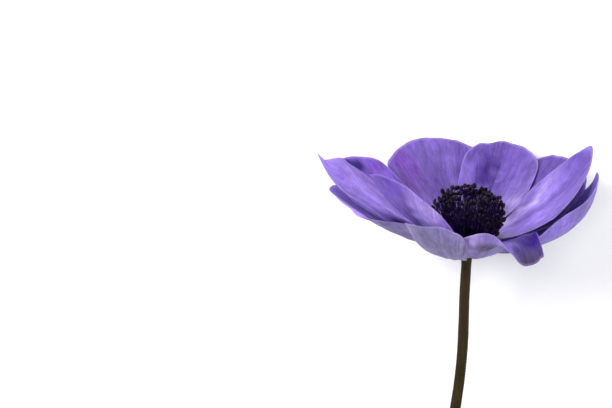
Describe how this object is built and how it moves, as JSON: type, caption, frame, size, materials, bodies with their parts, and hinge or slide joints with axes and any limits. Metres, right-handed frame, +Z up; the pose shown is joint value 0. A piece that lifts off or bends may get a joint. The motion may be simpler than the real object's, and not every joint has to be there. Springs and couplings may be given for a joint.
{
  "type": "anemone flower",
  "caption": "Fully open violet garden anemone, cut with a length of bare stalk and lying on its side: broad tepals round a dark boss with a ring of stamens.",
  "frame": {"origin": "on the surface that the flower lies on, under the middle of its bounding box", "axes": "+Z up; the stalk runs towards -Y and the open face of the flower looks along +Y, about 21 degrees upwards"},
  "size_m": [0.089, 0.159, 0.0717],
  "materials": {
    "tepals": "soft satin petal, violet inside, paler greyish lavender outside",
    "stalk": "fine-haired herbaceous stalk, dark brown turning olive green",
    "pistil": "matt blue-black, knobbly",
    "stamens": "matt blue-black anthers on dark violet filaments"
  },
  "bodies": {
    "root": {"tepal_outer_near_left": "tepals", "tepal_outer_right": "tepals", "tepal_outer_far_right": "tepals", "tepal_outer_far_left": "tepals", "tepal_outer_left": "tepals", "tepal_outer_near_right": "tepals", "tepal_inner_far_right": "tepals", "tepal_inner_far_left": "tepals", "tepal_inner_right": "tepals", "tepal_inner_back_left": "tepals", "tepal_inner_left": "tepals", "tepal_inner_near_left": "tepals", "stalk": "stalk", "pistil_cone": "pistil", "stamen_01": "stamens", "stamen_02": "stamens", "stamen_03": "stamens", "stamen_04": "stamens", "stamen_05": "stamens", "stamen_06": "stamens", "stamen_07": "stamens", "stamen_08": "stamens", "stamen_09": "stamens", "stamen_10": "stamens", "stamen_11": "stamens", "stamen_12": "stamens", "stamen_13": "stamens", "stamen_14": "stamens", "stamen_15": "stamens", "stamen_16": "stamens", "stamen_17": "stamens", "stamen_18": "stamens", "stamen_19": "stamens", "stamen_20": "stamens", "stamen_21": "stamens", "stamen_22": "stamens", "stamen_23": "stamens", "stamen_24": "stamens", "stamen_25": "stamens", "stamen_26": "stamens", "stamen_27": "stamens", "stamen_28": "stamens", "stamen_29": "stamens", "stamen_30": "stamens", "stamen_31": "stamens", "stamen_32": "stamens", "stamen_33": "stamens", "stamen_34": "stamens", "stamen_35": "stamens", "stamen_36": "stamens", "stamen_37": "stamens", "stamen_38": "stamens", "stamen_39": "stamens", "stamen_40": "stamens", "stamen_41": "stamens", "stamen_42": "stamens", "stamen_43": "stamens", "stamen_44": "stamens"}
  },
  "joints": []
}
